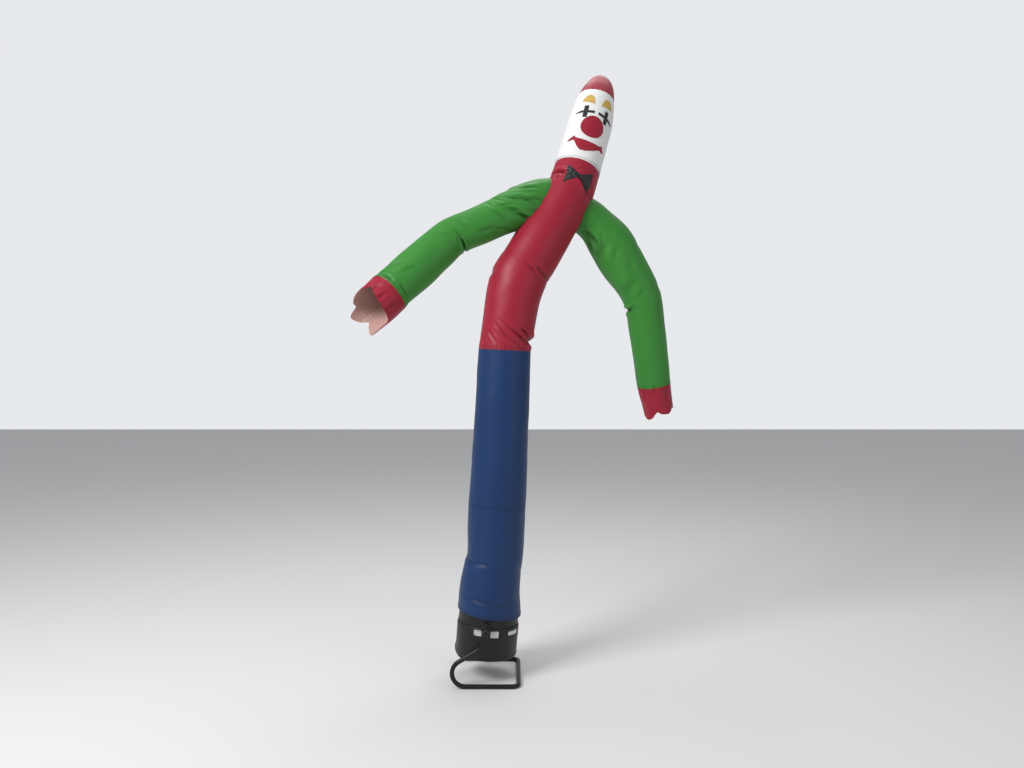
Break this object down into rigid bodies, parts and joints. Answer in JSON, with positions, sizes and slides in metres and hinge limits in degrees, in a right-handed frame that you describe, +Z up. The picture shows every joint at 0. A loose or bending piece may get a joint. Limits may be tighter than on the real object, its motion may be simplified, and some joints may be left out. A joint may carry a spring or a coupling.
{
  "type": "inflatable air dancer on a blower",
  "caption": "Inflated cloth tube figure with arms and a clown face, standing on a drum blower with a bent tube stand.",
  "frame": {"origin": "middle of the part's footprint on the floor, below the middle of its bounding box", "axes": "+Z up, -Y the side that the face looks to, +X the viewer's right"},
  "size_m": [1.6098, 0.7336, 3.0605],
  "materials": {
    "blue_cloth": "satin coated nylon",
    "red_cloth": "satin coated nylon",
    "green_cloth": "satin coated nylon",
    "white_cloth": "satin coated nylon",
    "flesh_cloth": "matt coated nylon",
    "gold_cloth": "satin coated nylon",
    "black_cloth": "satin coated nylon",
    "drum_paint": "satin black paint",
    "knob_plastic": "matt moulded plastic",
    "stand_paint": "gloss black paint",
    "label_film": "blank light grey film",
    "webbing": "woven webbing"
  },
  "bodies": {
    "root": {"boss_back": "drum_paint", "boss_front": "drum_paint", "bow_tie": "black_cloth", "brow_left": "gold_cloth", "brow_right": "gold_cloth", "cap": "red_cloth", "cuff_left": "red_cloth", "cuff_right": "red_cloth", "drum_body": "drum_paint", "drum_collar": "drum_paint", "eye_left": "black_cloth", "eye_right": "black_cloth", "hand_left": "flesh_cloth", "head_band": "white_cloth", "intake_guard": "drum_paint", "knob_back": "knob_plastic", "knob_front": "knob_plastic", "label_1": "label_film", "label_2": "label_film", "label_3": "label_film", "leg_lower": "blue_cloth", "leg_upper": "blue_cloth", "mouth": "red_cloth", "nose": "red_cloth", "side_tab": "webbing", "sleeve_left": "green_cloth", "sleeve_right": "green_cloth", "stand": "stand_paint", "torso_tube": "red_cloth"}
  },
  "joints": []
}
